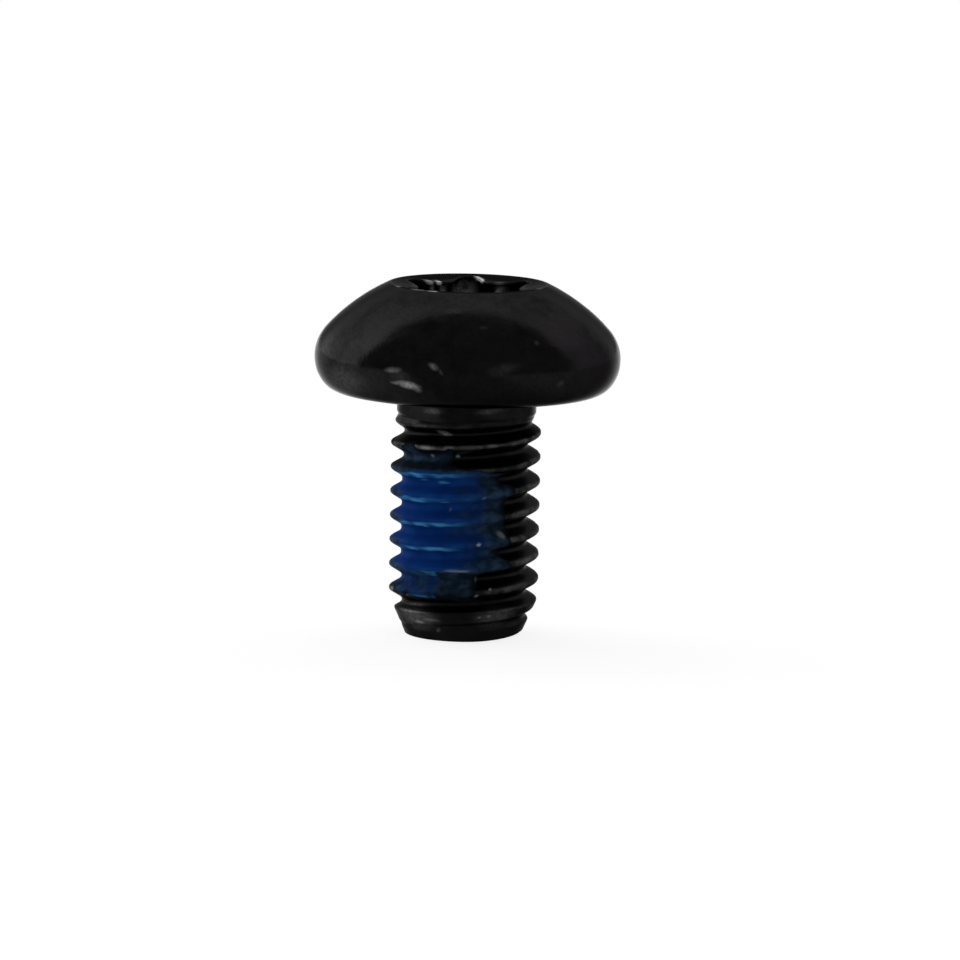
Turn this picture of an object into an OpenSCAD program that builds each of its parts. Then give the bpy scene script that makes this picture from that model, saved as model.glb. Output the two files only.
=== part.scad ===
// Hexalobular button head screw, M5 x 0.8 x 8, with a dried patch of thread-locking film.
// Millimetres, +Z up. The origin is the centre of the head's bearing face: the shank hangs below it.

/* [Head] */
// Diameter of the head at its widest line
head_d = 10; // [9:0.1:12]
// Height of the head, from its bearing face to the rim of the socket's mouth
head_h = 3.55; // [3:0.05:4.5]
// Height of the widest line above the bearing face
widest_z = 1.1; // [0.8:0.05:1.5]
// Diameter of the flat bearing face
seat_d = 8.3; // [7:0.1:8.8]
// Radius of the shoulder above the widest line
shoulder_r = 1.4; // [0.9:0.1:1.8]
// Radius of the dome
dome_r = 6.2; // [5:0.1:12]

/* [Socket] */
// Width across two opposite lobes
across_lobes = 4.5; // [4.2:0.05:4.8]
// Width across two opposite ribs
across_ribs = 3.27; // [3.1:0.01:3.5]
// Radius at the end of each lobe
lobe_r = 0.375; // [0.3:0.005:0.45]
// Depth of the straight walls, from the rim of the mouth
socket_depth = 1.9; // [1.4:0.05:2.2]
// Diameter of the countersunk mouth
mouth_d = 5.15; // [4.9:0.05:5.6]
// Angle between opposite sides of the mouth's countersink
mouth_angle = 160; // [120:5:165]
// Diameter of the hollow that the punch's point leaves in the floor
point_d = 3; // [2:0.1:3]
// Angle between opposite sides of that hollow
point_angle = 130; // [110:5:150]

/* [Shank] */
// Length of the shank below the bearing face
shank_len = 8; // [7:0.5:20]
// Diameter of the plain neck
neck_d = 4.56; // [4.44:0.02:4.64]
// Length of the plain neck below the bearing face
neck_len = 0.7; // [0.6:0.05:1.2]
// Radius of the fillet between the neck and the bearing face
neck_fillet = 0.3; // [0.24:0.02:0.4]
// Diameter of the flat tip
tip_d = 3.8; // [3.2:0.05:4]
// Length over which the crests taper down to the tip
tip_taper = 1.25; // [0.6:0.05:1.6]

/* [Thread] */
// Diameter over the crests
crest_d = 4.9; // [4.8:0.02:5]
// Diameter at the roots
root_d = 4.04; // [3.96:0.02:4.2]
// Distance from crest to crest
pitch = 0.8; // [0.75:0.05:1]
// Width of the flat on a crest
crest_flat = 0.14; // [0.06:0.01:0.2]
// Angle between the two flanks of a groove
flank_angle = 60; // [55:1:62]
// Length over which the groove rises to meet the neck
runout = 0.6; // [0.4:0.05:1]
// Distance from the bearing face down to the first crest line on the +X side
crest_offset = 0.52; // [0:0.02:0.8]
// Facets in one turn of the thread
turn_steps = 40; // [32:4:48]

/* [Thread-lock patch] */
// Distance from the first full turn to the top of the patch
patch_top_gap = 0.5; // [0:0.1:2]
// Distance from the tip's taper to the bottom of the patch
patch_tip_gap = 0.1; // [0:0.1:1]
// Angle from +X at which the patch starts, in whole facets
patch_from = 153; // [90:9:180]
// Angle that the patch covers, in whole facets
patch_span = 153; // [90:9:180]
// Thickness of the film on the crests
film_crest = 0.03; // [0.02:0.01:0.06]
// Thickness of the film in the roots
film_root = 0.1; // [0.06:0.01:0.15]

/* [Hidden] */
$fn = 96;

// A hexalobular socket has six lobes
lobes = 6;
// Straight lines in each round stretch of an outline
arc_steps = 10;
// How far a cutting solid runs past the face that it opens
overrun = 1;
// Step between the neck and the rod inside it
neck_step = 0.05;
// Turns of thread past each end of the shank, which the envelope and the neck take up
spare_turns = 1;
// Narrowest floor that the flanks leave in a groove
root_flat = 0.04;

head_r = head_d / 2;
seat_r = seat_d / 2;
mouth_r = mouth_d / 2;
neck_r = neck_d / 2;
crest_r = crest_d / 2;
root_r = root_d / 2;
tip_r = tip_d / 2;

// Centres of the shoulder and dome arcs: the dome passes through the mouth's rim and touches the shoulder
shoulder_c = [head_r - shoulder_r, widest_z];
mouth_rim = [mouth_r, head_h];
rim_gap = norm(shoulder_c - mouth_rim);
rim_way = (shoulder_c - mouth_rim) / rim_gap;
dome_along = (dome_r ^ 2 - (dome_r - shoulder_r) ^ 2 + rim_gap ^ 2) / (2 * rim_gap);
dome_aside = sqrt(dome_r ^ 2 - dome_along ^ 2);
dome_c = mouth_rim + dome_along * rim_way + dome_aside * [rim_way.y, -rim_way.x];
dome_low = direction(shoulder_c - dome_c);
dome_high = direction(mouth_rim - dome_c);

// Centres of a lobe's arc and a rib's arc, and the rib radius that lets the two touch
lobe_turn = 360 / lobes;
lobe_c = across_lobes / 2 - lobe_r;
rib_in = across_ribs / 2;
rib_reach = lobe_c * cos(lobe_turn / 2);
rib_r = (lobe_c ^ 2 + rib_in ^ 2 - 2 * rib_reach * rib_in - lobe_r ^ 2) / (2 * (lobe_r + rib_reach - rib_in));
rib_c = (rib_in + rib_r) * [cos(lobe_turn / 2), sin(lobe_turn / 2)];
lobe_edge = direction(rib_c - [lobe_c, 0]);
socket_floor = head_h - socket_depth;

// One pitch of the thread as distance along the axis and radius, from the lower edge of a crest
crest_points = 2;
flank_room = (pitch - crest_flat - root_flat) / 2;
flank_len = min((crest_r - root_r) * tan(flank_angle / 2), flank_room);
thread_outline = [
    [-crest_flat / 2, crest_r],
    [crest_flat / 2, crest_r],
    [crest_flat / 2 + flank_len, root_r],
    [pitch - crest_flat / 2 - flank_len, root_r],
];
outline_len = len(thread_outline);

// Height of the lowest crest line on the +X side, a turn or more past the tip, and the turns up to the neck
thread_low = -crest_offset - pitch * (ceil((shank_len - crest_offset) / pitch) + spare_turns);
rod_turns = ceil((-neck_len - thread_low) / pitch) + spare_turns;
rod_rows = rod_turns * outline_len;
rod_r = neck_r - neck_step;

// First and last facet of the patch round the shank, and its first and last row of points
patch_first = round(patch_from / 360 * turn_steps);
patch_last = patch_first + round(patch_span / 360 * turn_steps);
patch_high = -neck_len - runout - patch_top_gap;
patch_low = -shank_len + tip_taper + patch_tip_gap;
patch_row_low = outline_len * ceil((patch_low - thread_low) / pitch - patch_first / turn_steps);
patch_row_high = outline_len * floor((patch_high - thread_low) / pitch - patch_last / turn_steps);

// Angle of a direction in an outline
function direction(v) = atan2(v.y, v.x);

// Points along an arc, without its last one
function arc(c, r, from, to) = [
    for (k = [0:arc_steps - 1])
        let (a = from + (to - from) * k / arc_steps)
            c + r * [cos(a), sin(a)]
];

// Points along a quarter of an ellipse, from the bearing face towards the widest line
function lower_edge() = [
    for (k = [0:arc_steps - 1])
        let (a = 90 * k / arc_steps)
            [seat_r + (head_r - seat_r) * sin(a), widest_z * (1 - cos(a))]
];

// Share of the thread's full depth at a height: none at the neck, all of it below the run-out
function depth_share(z) = max(0, min(1, (-neck_len - z) / runout));

// Height of a thread point: step counts facets round the shank, row counts outline points along it
function thread_z(step, row) =
    thread_low
    + thread_outline[row % outline_len][0]
    + pitch * (floor(row / outline_len) + step / turn_steps);

// Thread point, lifted off the steel by a film
function thread_point(step, row, film = 0) =
    let (
        z = thread_z(step, row),
        full_r = thread_outline[row % outline_len][1],
        r = rod_r + (full_r - rod_r) * depth_share(z) + film,
        a = 360 * step / turn_steps
    )
        [r * cos(a), r * sin(a), z];

// Film on a row of thread points
function film_at(row) = row % outline_len < crest_points ? film_crest : film_root;

// Two triangles for the patch of surface between four points, seen from outside
function quad(a, b, c, d) = [[a, c, b], [a, d, c]];

// Index of a rod point, where a step past the last facet is the first facet a turn further up
function rod_index(step, row) =
    step < turn_steps ? row * turn_steps + step : (row + outline_len) * turn_steps;

// Outline of the head and the neck, from the axis below the neck round to the axis at the top
module head_outline() {
    polygon(concat(
        [[0, -neck_len], [neck_r, -neck_len]],
        arc([neck_r + neck_fillet, -neck_fillet], neck_fillet, 180, 90),
        [[neck_r + neck_fillet, 0]],
        lower_edge(),
        arc(shoulder_c, shoulder_r, 0, dome_low),
        arc(dome_c, dome_r, dome_low, dome_high),
        [mouth_rim, [0, head_h]]
    ));
}

// Six-lobed section of the socket, with one lobe towards the viewer
module socket_outline() {
    polygon([
        for (k = [0:lobes - 1])
            for (p = concat(
                arc([lobe_c, 0], lobe_r, -lobe_edge, lobe_edge),
                arc(rib_c, rib_r, 180 + lobe_edge, 180 + lobe_turn - lobe_edge)
            ))
                let (a = 90 + k * lobe_turn)
                    [p.x * cos(a) - p.y * sin(a), p.x * sin(a) + p.y * cos(a)]
    ]);
}

// Everything that the punch takes out of the head
module socket() {
    mouth_slope = tan(mouth_angle / 2);
    translate([0, 0, socket_floor])
        linear_extrude(socket_depth + overrun)
            socket_outline();
    translate([0, 0, head_h - mouth_r / mouth_slope])
        cylinder(r1 = 0, r2 = mouth_r + overrun * mouth_slope, h = mouth_r / mouth_slope + overrun);
    translate([0, 0, socket_floor - point_d / 2 / tan(point_angle / 2)])
        cylinder(r1 = 0, r2 = point_d / 2, h = point_d / 2 / tan(point_angle / 2));
}

// Rod with the helical thread, longer than the shank at both ends
module thread_rod() {
    points = [for (row = [0:rod_rows]) for (step = [0:turn_steps - 1]) thread_point(step, row)];
    low_hub = len(points);
    high_hub = low_hub + 1;
    low_ring = concat(
        [for (step = [0:turn_steps]) rod_index(step, 0)],
        [for (row = [outline_len - 1:-1:0]) rod_index(0, row)]
    );
    high_ring = concat(
        [for (step = [0:turn_steps - 1]) rod_index(step, rod_rows)],
        [for (row = [rod_rows - 1:-1:rod_rows - outline_len]) rod_index(turn_steps - 1, row)],
        [rod_index(0, rod_rows)]
    );
    sides = [
        for (step = [0:turn_steps - 1])
            for (row = [0:rod_rows - 1 - (step == turn_steps - 1 ? outline_len : 0)])
                each quad(
                    rod_index(step, row),
                    rod_index(step + 1, row),
                    rod_index(step + 1, row + 1),
                    rod_index(step, row + 1)
                )
    ];
    low_cap = [for (k = [0:len(low_ring) - 2]) [low_hub, low_ring[k], low_ring[k + 1]]];
    high_cap = [for (k = [0:len(high_ring) - 2]) [high_hub, high_ring[k + 1], high_ring[k]]];
    polyhedron(
        points = concat(points, [[0, 0, thread_low - pitch], [0, 0, thread_z(turn_steps, rod_rows)]]),
        faces = concat(sides, low_cap, high_cap)
    );
}

// Envelope of the shank: the taper trims the last crests, and the tip is flat
module shank_envelope() {
    taper_slope = tip_taper / (crest_r - tip_r);
    rotate_extrude()
        polygon([
            [0, -shank_len],
            [tip_r, -shank_len],
            [crest_r + overrun, -shank_len + tip_taper + overrun * taper_slope],
            [crest_r + overrun, -neck_fillet],
            [0, -neck_fillet],
        ]);
}

// The whole screw, one piece of steel
module screw() {
    color("#26272a")
        difference() {
            union() {
                rotate_extrude()
                    head_outline();
                intersection() {
                    thread_rod();
                    shank_envelope();
                }
            }
            socket();
        }
}

// Dried film that follows the thread and lies against it
module thread_lock_patch() {
    steps = patch_last - patch_first;
    rows = patch_row_high - patch_row_low;
    layer = (steps + 1) * (rows + 1);
    function at(skin, step, row) = skin * layer + row * (steps + 1) + step;
    points = [
        for (skin = [0, 1])
            for (row = [patch_row_low:patch_row_high])
                for (step = [patch_first:patch_last])
                    thread_point(step, row, skin * film_at(row))
    ];
    skins = [
        for (row = [0:rows - 1])
            for (step = [0:steps - 1])
                each concat(
                    quad(at(1, step, row), at(1, step + 1, row), at(1, step + 1, row + 1), at(1, step, row + 1)),
                    [
                        for (t = quad(
                            at(0, step, row), at(0, step + 1, row), at(0, step + 1, row + 1), at(0, step, row + 1)
                        ))
                            [t[0], t[2], t[1]]
                    ]
                )
    ];
    ends = [
        for (step = [0:steps - 1])
            each concat(
                quad(at(0, step, 0), at(0, step + 1, 0), at(1, step + 1, 0), at(1, step, 0)),
                quad(at(1, step, rows), at(1, step + 1, rows), at(0, step + 1, rows), at(0, step, rows))
            )
    ];
    edges = [
        for (row = [0:rows - 1])
            each concat(
                quad(at(1, 0, row), at(1, 0, row + 1), at(0, 0, row + 1), at(0, 0, row)),
                quad(at(0, steps, row), at(0, steps, row + 1), at(1, steps, row + 1), at(1, steps, row))
            )
    ];
    color("#2a63c4")
        polyhedron(points = points, faces = concat(skins, ends, edges));
}

screw();
thread_lock_patch();
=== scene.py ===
"""Looks of a black button head screw with a six-lobe socket and a dried blue thread-lock film.

Two detailed pieces stand for the two solids: the screw, one closed skin from the floor of its socket to
its tip, and the film that lies on its thread. Sizes are in millimetres and angles in degrees from +X,
unless a name says otherwise.
"""
import math

import bpy
import numpy as np
from mathutils import Matrix, Quaternion, Vector, noise


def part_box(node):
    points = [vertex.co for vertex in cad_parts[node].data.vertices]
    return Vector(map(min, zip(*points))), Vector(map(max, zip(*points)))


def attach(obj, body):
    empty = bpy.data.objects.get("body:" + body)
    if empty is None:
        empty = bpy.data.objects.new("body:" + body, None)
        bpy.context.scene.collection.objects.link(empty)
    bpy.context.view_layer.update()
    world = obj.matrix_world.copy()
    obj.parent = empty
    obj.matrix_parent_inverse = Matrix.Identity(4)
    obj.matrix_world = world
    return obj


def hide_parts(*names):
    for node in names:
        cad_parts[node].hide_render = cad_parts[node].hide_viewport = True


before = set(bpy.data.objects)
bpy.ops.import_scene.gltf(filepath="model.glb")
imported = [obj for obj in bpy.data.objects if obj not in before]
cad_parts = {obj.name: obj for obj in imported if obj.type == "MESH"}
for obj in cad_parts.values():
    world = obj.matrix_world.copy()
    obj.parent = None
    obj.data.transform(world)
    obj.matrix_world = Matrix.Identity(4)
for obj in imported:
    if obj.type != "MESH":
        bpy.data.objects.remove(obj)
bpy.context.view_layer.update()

# One millimetre in metres
MM = 0.001
# Outer limits of the screw, from its part in model.glb
screw_low, screw_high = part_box("screw")
TIP_Z = screw_low.z / MM
RIM_Z = screw_high.z / MM
HEAD_R = min(screw_high.x, screw_high.y, -screw_low.x, -screw_low.y) / MM

# Head
WIDEST_Z = 1.1
SEAT_R = 4.15
SHOULDER_R = 1.4
DOME_R = 6.2
RIM_ROUND = 0.07
# Hollows that make the head faintly uneven: depth, size and seed of each noise
DENTS = [(0.006, 2.2, 1), (0.003, 0.6, 2)]
# Socket
LOBES = 6
LOBE_R = 0.375
LOBE_OUT = 2.25
RIB_IN = 1.635
MOUTH_R = 2.575
MOUTH_ANGLE = 160
SOCKET_DEPTH = 1.9
POINT_R = 1.5
POINT_ANGLE = 130
# Shank
NECK_R = 2.28
NECK_LEN = 0.7
NECK_FILLET = 0.3
NECK_STEP = 0.05
TIP_R = 1.9
TIP_TAPER = 1.25
TIP_ROUND = 0.035
# How far the cut end rises at its +X side
TIP_LIFT = 0.10
# Thread
CREST_R = 2.45
ROOT_R = 2.02
PITCH = 0.8
CREST_FLAT = 0.14
FLANK_ANGLE = 60
RUNOUT = 0.6
CREST_OFFSET = 0.52
CREST_ROUND = 0.09
ROOT_ROUND = 0.12
# Radius of the taper where the round edge of the tip starts
TAPER_END_R = TIP_R + (CREST_R - TIP_R) * TIP_ROUND / TIP_TAPER

# Columns round the axis, and rows in one pitch of the thread
COLUMNS = 300
ROWS = 18
COLUMN_ANGLES = np.radians(np.arange(COLUMNS) * 360 / COLUMNS)
# Steps in each long arc of the head's outline, in its rim and its fillet, and in the edge of the tip
ARC_STEPS = 20
RIM_STEPS = 6
FILLET_STEPS = 8
TIP_STEPS = 5
# Rings on the flat seat
SEAT_RINGS = 6

# Chips in the crests: depth, how far below a crest they reach, and the noise that places them
CHIP_DEPTH = 0.022
CHIP_REACH = 0.15
CHIP_PATCHES = {"size": 0.45, "seed": 7, "levels": (0.15, 0.5)}
# Unevenness all over the thread: depth and size
THREAD_ROUGH = 0.008
ROUGH_SIZE = 0.3
# How strong the painted highlight on the bare crests and lower flanks is, partly rubbing, and its band below
# a crest
FLANK_GLINT = 0.13
RUB_AND_GLINT_BAND = (0.24, -0.03)
# Noise that breaks the painted highlight into patches, and the share that is left between them
RUB_AND_GLINT_PATCHES = {"size": 0.35, "seed": 10, "levels": (-0.1, 0.4)}
RUB_AND_GLINT_LEAST = 0.20
# Heights between which the painted highlight starts above the tip
RUB_AND_GLINT_START = (-6.95, -6.75)
# Side where less light falls and the painted highlight is weaker:
# angles where that starts, is full, fades and ends, and the share that is missing
GLINT_SHADED_SIDE = (280, 300, 340, 360)
GLINT_SHADED_LOSS = 0.6
# Distances below the crest's radius between which the crest is worn
WORN_CREST = (0.12, 0.03)

# Film: the angles and heights where it is thick, and where it thins out to a bluish tinge
FILM_THICK = {"from": 146, "to": 291, "low": -6.60, "high": -2.26}
FILM_THIN = {"from": 142, "to": 312, "low": -6.72, "high": -1.5}
FILM_GRID = {"from": 132, "to": 330, "low": -7.0, "high": -1.35}
# Angle at which the thick film is as high as given above: its upper edge follows the thread
FILM_HIGH_AT = 270
# Width of the thick film's edge, how far it starts outside, and its width where it fades towards +X
FILM_EDGE = 0.28
FILM_OUTSIDE = 0.06
FILM_FADE = 2.2
# Raggedness of the film: depth, size and seed of each noise, and how much of it each region's edge takes
FILM_RAGGED = [(0.16, 0.7, 3), (0.07, 0.22, 4)]
RAGGED_THICK = 0.5
RAGGED_THIN = 2.2
RAGGED_BARE = 0.2
# Degrees by which the thick film's -X edge wanders, with the size and seed of the noise
FILM_LEFT_RAGGED = [(10, 0.6, 12)]
# Distances inside a region between which the thin film, its tinge and the bare place start
THIN_START = (-0.1, 0.35)
TINGE_START = (0.15, 0.75)
BARE_START = (-0.03, 0.05)
# Heights between which the thin upper band starts, and depths between which the lowest turn does
FILM_TOP = (-2.5, -2.1)
FILM_BOTTOM = (5.5, 5.75)
# Degrees by which the thin film's +X edge draws back in its upper band and in its lowest turn
FILM_BACK_TOP = 50
FILM_BACK_BOTTOM = 25
# Angles between which the lowest turn wears thin, and those between which bare crests become covered
FILM_LOW_WORN = (246, 249)
FILM_BARE_CRESTS = (200, 225)
# Distances below the crest's radius between which a crest of the film starts
FILM_CREST = (0.15, 0.05)
# Patches in which the lowest turn is thinner
FILM_LOW_PATCHES = {"size": 0.3, "seed": 14, "levels": (0, 0.4)}
# Shares of the thick film that are lost in the bare place, in the lowest turn, where that wears thin
# as well, in its patches, and on bare crests
LOSS_BARE = 0.9
LOSS_LOW = 0.5
LOSS_LOW_WORN = 0.4
LOSS_LOW_PATCHES = 0.5
LOSS_CRESTS = 0.92
# Share of thick film in the thin upper band, and share of the tinge that gives way to painted shade on the
# flank above
TOP_SHARE = 0.12
FLANK_SHADE_LOSS = 0.8
# Angles between which the painted shade on the film's -X side ends, how strong that shade is before them,
# and heights between which the painted shade on the bare flank above the film starts
FILM_LIGHTER = (225, 250)
SIDE_DIM = 0.7
FILM_SHADED_FLANK = (-2.75, -2.60)
# Heights over a crest where the upper flank, which holds painted shade, starts, is full, fades and ends
UPPER_FLANK = (0.02, 0.10, 0.24, 0.34)
# Film thickness on the flanks and at its thin margin, and the radius to which it fills the roots
FILM_FLANK = 0.015
FILM_MARGIN = 0.012
FILM_FILL_R = 2.04
FILM_FILL_ROUND = 0.1
# Lumps in the film: depth, size and seed of each noise
FILM_LUMPS = [(0.006, 0.25, 5), (0.004, 0.1, 6)]
# How far the film's skin lies in the steel where there is no film, and how far its inner side does
FILM_SINK = 0.008
FILM_INSET = 0.04
# Place in the film that has been knocked off: angles and heights
BARE_BLOCK = {"from": 247, "to": 281, "low": -6.4, "high": -5.63}
# Painted highlights: pale streaks under the film's crests; distances below a crest, and the noise that makes
# them wavy
STREAK_BAND = (0.19, 0.10)
STREAK_WAVES = [(0.04, 0.35, 13)]
# Angle where they end, the noise that makes the end ragged, and the angle on either side in which they fade
STREAK_END = 265
STREAK_RAGGED = [(25, 0.8, 11)]
STREAK_FADE = 15
# Noise that breaks them up, and the share that is left between the patches
STREAK_PATCHES = {"size": 0.5, "seed": 9, "levels": (-0.3, 0.3)}
STREAK_LEAST = 0.20
# Angles where they brighten, are full, fade and are dim again, and the share where they are dim
STREAK_BRIGHT = (200, 228, 248, 268)
STREAK_DIM = 0.40
# Short painted highlights between the crests of the film: angle, height, half width, half height, strength
FILM_SHORT_GLINTS = [(250, -2.75, 0.28, 0.05, 0.60), (230, -2.72, 0.22, 0.04, 0.30)]
# Grains of dust and dried film on the thread, and in the last row a painted highlight:
# angle, height, half width, half height, strength
GRAINS_AND_GLINT = [
    (302, -4.44, 0.17, 0.15, 0.35),
    (281, -4.70, 0.09, 0.07, 1.0),
    (239, -1.90, 0.08, 0.07, 0.6),
    (263, -1.87, 0.10, 0.07, 0.4),
    (291, -6.19, 0.07, 0.06, 0.5),
    (280, -6.39, 0.08, 0.06, 0.6),
    (285, -3.19, 0.09, 0.07, 0.3),
    (281, -5.90, 0.05, 0.12, 0.2),
    (257, -3.62, 0.06, 0.09, 0.20),
    # A painted highlight: a thin light line along the top of the knocked-off place
    (265, -5.58, 0.60, 0.06, 0.50),
]
# How far a grain stands out
GRAIN_RISE = 0.04
# Part of the half width over which a spot or a glint has its full strength, and the same for a mark
SPOT_CORE = 0.3
MARK_CORE = 0.1
# Marks on the black finish: painted highlights and reflections, partly scuffs; the broad faint ones paint
# light on wider areas:
# angle, height, half width, half height, slant in degrees, strength
MARKS = [
    (196.0, 1.30, 1.70, 1.50, 0, 0.05),
    (214.0, 0.65, 1.70, 0.80, 0, 0.08),
    (247.8, 0.78, 0.52, 0.17, -9, 1.0),
    (250.8, 0.69, 0.26, 0.16, -35, 0.40),
    (243.6, 0.82, 0.34, 0.09, 0, 0.35),
    (247.0, 0.95, 0.70, 0.30, -10, 0.03),
    (241.6, 1.24, 0.42, 0.13, 3, 0.28),
    (257.4, 1.42, 0.25, 0.14, -28, 0.42),
    (260.2, 1.26, 0.16, 0.08, -50, 0.14),
    (283.5, 1.38, 0.75, 0.26, 10, 0.06),
    (277.0, 2.60, 0.22, 0.12, 10, 0.05),
    (299.0, 2.13, 0.14, 0.16, 0, 0.08),
    (307.0, 0.82, 0.24, 0.16, 20, 0.05),
    (262.0, 3.04, 0.45, 0.20, 0, 0.02),
    (241.2, -0.42, 0.55, 0.14, 0, 0.08),
    (288.3, -0.38, 0.65, 0.14, 4, 0.08),
    (250.2, -1.13, 0.42, 0.13, -9, 1.0),
    (241.0, -1.60, 0.45, 0.08, 2, 0.16),
    (293.6, -1.49, 0.55, 0.08, 8, 0.12),
    (268.0, -1.35, 1.60, 0.60, 0, 0.02),
    (229.3, -7.40, 0.34, 0.10, 0, 0.80),
    (240.0, -7.28, 0.55, 0.12, 0, 0.30),
    (283.5, -7.12, 0.12, 0.08, 0, 0.40),
    (291.5, -7.09, 0.15, 0.08, 0, 0.50),
    (247.1, -7.62, 0.14, 0.12, 30, 0.25),
    (226.0, -7.25, 1.20, 0.60, 0, 0.22),
    (298.0, -7.15, 1.05, 0.55, 6, 0.20),
]
# Depth of a mark: at least this, and at least this share of its half width
MARK_DEPTH = 0.5
MARK_DEPTH_SHARE = 0.6
# Painted highlights on the socket's wall, on its upper edge and on the rim of its mouth, partly worn places:
# angle, half width, strength
WALL_GLINTS = [(121, 7, 1.0), (133, 3, 0.9), (52, 10, 1.0), (96, 18, 0.60), (24, 6, 1.0), (160, 8, 0.60)]
EDGE_GLINTS = [(135, 4, 0.8), (126, 4, 0.8), (80, 7, 0.9), (54, 8, 0.06), (160, 8, 0.06)]
RIM_GLINTS = [(207, 5, 0.35), (231, 9, 0.20), (243, 5, 0.5), (333, 5, 0.35)]
# How strong the painted shade is on the mouth's cone and rim, where it makes them matt and black
MOUTH_SHADE = 0.75
# Cosines between which the painted shade thins out towards +X and -X on the cone and rim, and the cone's
# loss
CONE_SIDES = (0.70, 0.90)
RIM_SIDES = (0.80, 0.95)
CONE_LOSS = 0.3

# Noise levels between which one colour passes into another, and between which the gloss changes
COLOUR_LEVELS = (0.35, 0.65)
GLOSS_LEVELS = (0.3, 0.7)
# Noise in the steel's finish: size in millimetres, and detail
STEEL_NOISE = {"cloud": (1.8, 3.0), "stain": (3.5, 2.0), "grain": (0.12, 5.0), "patches": (0.45, 4.0)}
# Colours of the steel, with the mottling that lies over the first two:
# noise, its levels, its largest share and its colour
STEEL_DARK = (0.0094, 0.0094, 0.0100)
STEEL_PALE = (0.0134, 0.0134, 0.0138)
STEEL_MOTTLING = [
    ("patches", (0.35, 0.70), 0.6, (0.0163, 0.0163, 0.0166)),
    ("grain", (0.55, 0.35), 0.35, (0.0063, 0.0063, 0.0066)),
    ("stain", (0.5, 0.7), 0.45, (0.0143, 0.0111, 0.0129)),
]
STEEL_WORN = (0.07, 0.07, 0.07)
# Painted shade in the mouth, painted highlights partly from rubbing, and the marks' painted highlights and
# scuffs
STEEL_SHADE = (0.0017, 0.0017, 0.0020)
STEEL_GLINT_AND_RUB = (0.80, 0.80, 0.81)
STEEL_SCUFF_AND_GLINT = (0.46, 0.46, 0.47)
# What breaks up the worn places, the painted highlights and the marks: two noise levels, and the share at
# each
WORN_PATCHES = (0.42, 0.66, 0, 0.60)
GLINT_PATCHES = (0.35, 0.60, 0.45, 1.0)
SCUFF_AND_GLINT_GRAIN = (0.35, 0.60, 0.55, 1.0)
# Lowest and highest roughness of the head, and what the thread has more
HEAD_ROUGHNESS = (0.12, 0.20)
THREAD_ROUGHER = 0.20
# Fine relief of the steel and of the film, with its distance in metres
STEEL_BUMP = {"Strength": 0.12, "Distance": 0.02 * MM}
FILM_BUMP = {"Strength": 0.2, "Distance": 0.015 * MM}
# Noise in the film: size in millimetres, and detail
FILM_NOISE = {"cloud": (0.8, 3.0), "blots": (0.3, 3.0), "grit": (0.1, 4.0)}
# Colours of the film: the dim blue is painted shade and the streak colour a painted highlight
FILM_BLUE = (0.0038, 0.040, 0.218)
FILM_BLUE_PALE = (0.0075, 0.064, 0.300)
FILM_DIM = (0.0032, 0.030, 0.168)
FILM_STREAK_GLINT = (0.095, 0.480, 0.960)
FILM_SLATE = (0.011, 0.027, 0.054)
FILM_SLATE_PALE = (0.034, 0.068, 0.122)
FILM_THIN_EDGE = (0.006, 0.007, 0.009)
FILM_GRAIN_AND_GLINT = (0.48, 0.53, 0.62)
# Largest share of the dim blue, which paints shade, and the shares of thick film between which slate passes
# into blue
DIM_SHARE = 0.7
BLUE_LEVELS = (0.05, 0.90)
# Lowest and highest roughness of the film, and its specular level
FILM_ROUGHNESS = (0.40, 0.60)
FILM_GLOSS = 0.005

# Camera: the view of the photograph, which is square
IMAGE_SIZE = 960
ORIGIN_PIXEL = (467.0, 390.6)
PIXELS_PER_MM = 30.65
CAMERA_DISTANCE = 230
CAMERA_ELEVATION = 7.9
CAMERA_ROLL = 1.054
SENSOR_MM = 36


def smoothstep(low, high, x):
    """0 below low, 1 above high, with a smooth rise between them."""
    t = np.clip((x - low) / (high - low), 0, 1)
    return t * t * (3 - 2 * t)


def plateau(start, full, fade, end, x):
    """1 between full and fade, 0 before start and after end, smooth between them."""
    return smoothstep(start, full, x) * (1 - smoothstep(fade, end, x))


def smooth_min(a, b, width):
    """The smaller of a and b, with a round blend of that width where they meet."""
    h = np.clip(0.5 + 0.5 * (b - a) / width, 0, 1)
    return b + (a - b) * h - width * h * (1 - h)


def smooth_max(a, b, width):
    """The larger of a and b, with a round blend of that width where they meet."""
    return -smooth_min(-a, -b, width)


def wander(points, size, seed):
    """Smooth noise from -1 to 1 at points in millimetres, with features of about that size."""
    shift = Vector((seed * 17.3, seed * 5.1, seed * 9.7))
    flat = np.reshape(points, (-1, 3)) / size
    values = [noise.noise(Vector(p) + shift) for p in flat]
    return np.reshape(values, np.shape(points)[:-1])


def layered(points, layers):
    """Noise of several sizes added up, from rows of depth, size and seed."""
    return sum(depth * wander(points, size, seed) for depth, size, seed in layers)


def patchy(points, size, seed, levels):
    """Patches, from 0 to 1, where noise of that size rises past two levels."""
    return smoothstep(*levels, wander(points, size, seed))


def at_least(least, share):
    """A share from 0 to 1, squeezed into the range from the least to 1."""
    return least + (1 - least) * share


def arc(centre, radius, start, end, steps):
    """Points (r, z) along an arc, angles in radians."""
    angles = np.linspace(start, end, steps + 1)
    return [(centre[0] + radius * math.cos(a), centre[1] + radius * math.sin(a)) for a in angles]


def bend(start, corner, end, steps):
    """Points (r, z) of a smooth bend from start to end round a corner."""
    shares = np.linspace(0, 1, steps + 1)
    return [
        tuple((1 - t) ** 2 * np.array(start) + 2 * t * (1 - t) * np.array(corner) + t * t * np.array(end))
        for t in shares
    ]


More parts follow.
